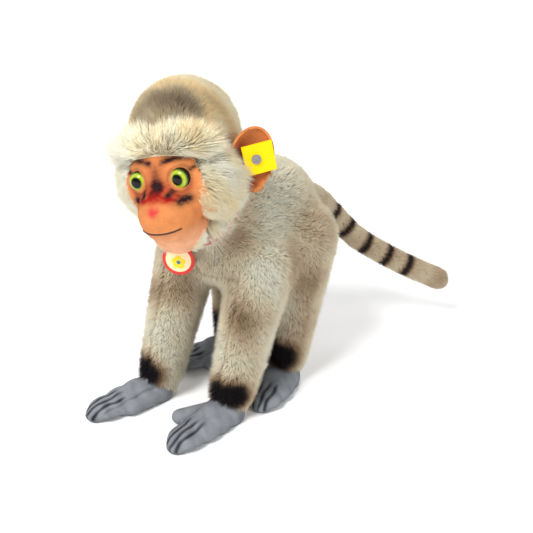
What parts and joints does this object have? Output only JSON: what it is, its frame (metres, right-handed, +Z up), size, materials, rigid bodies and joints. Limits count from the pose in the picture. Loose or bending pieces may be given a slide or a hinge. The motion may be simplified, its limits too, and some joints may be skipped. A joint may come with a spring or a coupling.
{
  "type": "stuffed toy monkey",
  "caption": "Stuffed mohair monkey on all fours with a felt face, glass eyes, a turning head, collar tag, ear flag and a wired striped tail.",
  "frame": {"origin": "on the floor under the left hand's sole, in line with the wrist", "axes": "+Z up, -Y the way the body faces, +X the monkey's left"},
  "size_m": [0.1231, 0.2591, 0.215],
  "materials": {
    "mohair_plush": "matte",
    "long_mohair": "matte",
    "grey_felt": "matte",
    "orange_felt": "matte",
    "eye_glass": "gloss",
    "steel_wire": "satin",
    "wood_wool": "matte",
    "hardboard": "matte",
    "red_ribbon": "satin",
    "yellow_ribbon": "satin",
    "printed_card": "matte",
    "dark_thread": "matte"
  },
  "bodies": {
    "trunk": {"belly_gusset": "mohair_plush", "body_side_left": "mohair_plush", "body_side_right": "mohair_plush", "foot_sole_left": "grey_felt", "foot_sole_right": "grey_felt", "foot_stuffing_left": "wood_wool", "foot_stuffing_right": "wood_wool", "foot_upper_left": "grey_felt", "foot_upper_right": "grey_felt", "front_leg_stuffing_left": "wood_wool", "front_leg_stuffing_right": "wood_wool", "hand_sole_left": "grey_felt", "hand_sole_right": "grey_felt", "hand_stuffing_left": "wood_wool", "hand_stuffing_right": "wood_wool", "hand_upper_left": "grey_felt", "hand_upper_right": "grey_felt", "hind_leg_stuffing_left": "wood_wool", "hind_leg_stuffing_right": "wood_wool", "neck_disc_body": "hardboard", "neck_washer_body": "steel_wire", "trunk_stuffing": "wood_wool"},
    "head": {"chin_felt": "orange_felt", "ear_button": "steel_wire", "ear_left": "orange_felt", "ear_right": "orange_felt", "eye_left": "eye_glass", "eye_right": "eye_glass", "eye_shank_left": "steel_wire", "eye_shank_right": "steel_wire", "face_felt": "orange_felt", "head_crown": "long_mohair", "head_ruff": "long_mohair", "head_stuffing": "wood_wool", "mouth_stitch": "dark_thread", "neck_cotter_pin": "steel_wire", "neck_disc_head": "hardboard", "neck_washer_head": "steel_wire"},
    "flag": {"ear_flag": "yellow_ribbon"},
    "collar": {"collar": "red_ribbon", "tag_thread": "dark_thread"},
    "tag": {"paper_tag": "printed_card"},
    "tail_base": {"tail_skin_base": "mohair_plush", "tail_stuffing_base": "wood_wool", "tail_wire_base": "steel_wire"},
    "tail_tip": {"tail_skin_tip": "mohair_plush", "tail_stuffing_tip": "wood_wool", "tail_wire_tip": "steel_wire"}
  },
  "joints": [
    {"name": "head_turn", "type": "hinge", "parent": "trunk", "child": "head", "pos_m": [-0.025, -0.001, 0.137], "axis": [0, -0.6157, 0.788], "continuous": true},
    {"name": "collar_turn", "type": "hinge", "parent": "trunk", "child": "collar", "pos_m": [-0.025, -0.001, 0.137], "axis": [0, -0.6157, 0.788], "range_deg": [-20, 20]},
    {"name": "tag_swing", "type": "hinge", "parent": "collar", "child": "tag", "pos_m": [-0.02596, -0.01875, 0.11674], "axis": [-0.866, -0.5, 0], "range_deg": [-25, 25]},
    {"name": "flag_turn", "type": "hinge", "parent": "head", "child": "flag", "pos_m": [0.00763, 0.01052, 0.17365], "axis": [-0.8448, 0.5004, -0.1896], "range_deg": [-10, 10]},
    {"name": "tail_swing", "type": "hinge", "parent": "trunk", "child": "tail_base", "pos_m": [-0.025, 0.091, 0.119], "axis": [1, 0, 0], "range_deg": [-20, 20]},
    {"name": "tail_bend", "type": "hinge", "parent": "tail_base", "child": "tail_tip", "pos_m": [-0.011, 0.14, 0.074], "axis": [0, 0, 1], "range_deg": [-20, 20]}
  ]
}
